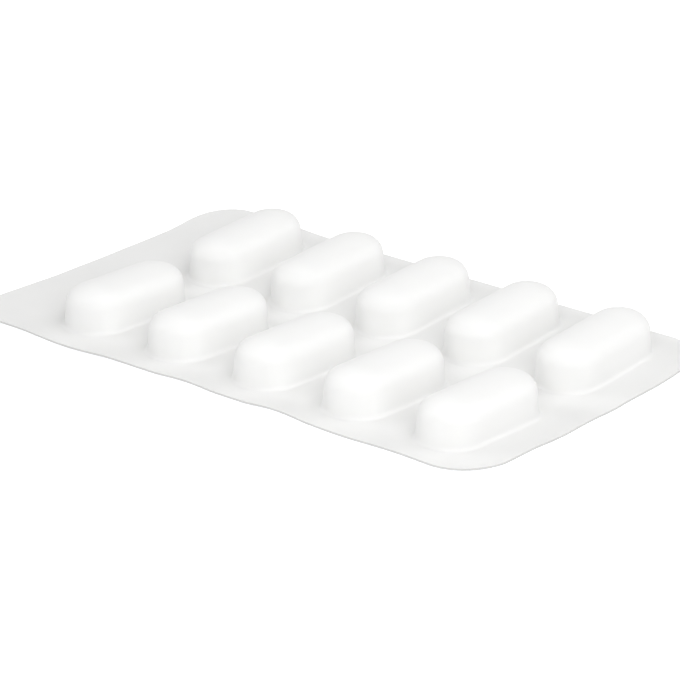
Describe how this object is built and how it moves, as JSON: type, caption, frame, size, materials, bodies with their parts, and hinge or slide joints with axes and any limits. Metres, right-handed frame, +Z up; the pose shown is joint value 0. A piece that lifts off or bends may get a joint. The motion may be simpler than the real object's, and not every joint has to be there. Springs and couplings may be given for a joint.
{
  "type": "blister pack",
  "caption": "Sealed blister pack: thin white card with rounded corners, softly bent along its middle, rows of oblong drafted caplet pockets with crowned roofs, and a plain strip at one end.",
  "frame": {"origin": "middle of the card's length and width, on the flat strip between the rows of pockets on which the pack rests", "axes": "+X along the card, away from its plain end; +Y across the card, along the pockets; +Z up, towards the pockets' roofs"},
  "size_m": [0.0932, 0.0562, 0.0072],
  "materials": {
    "film": "satin, white opaque thermoformed PVC film",
    "foil": "bright lacquered foil with a fine pressed sealing grid"
  },
  "bodies": {
    "root": {"blister_pack": "film"}
  },
  "joints": []
}
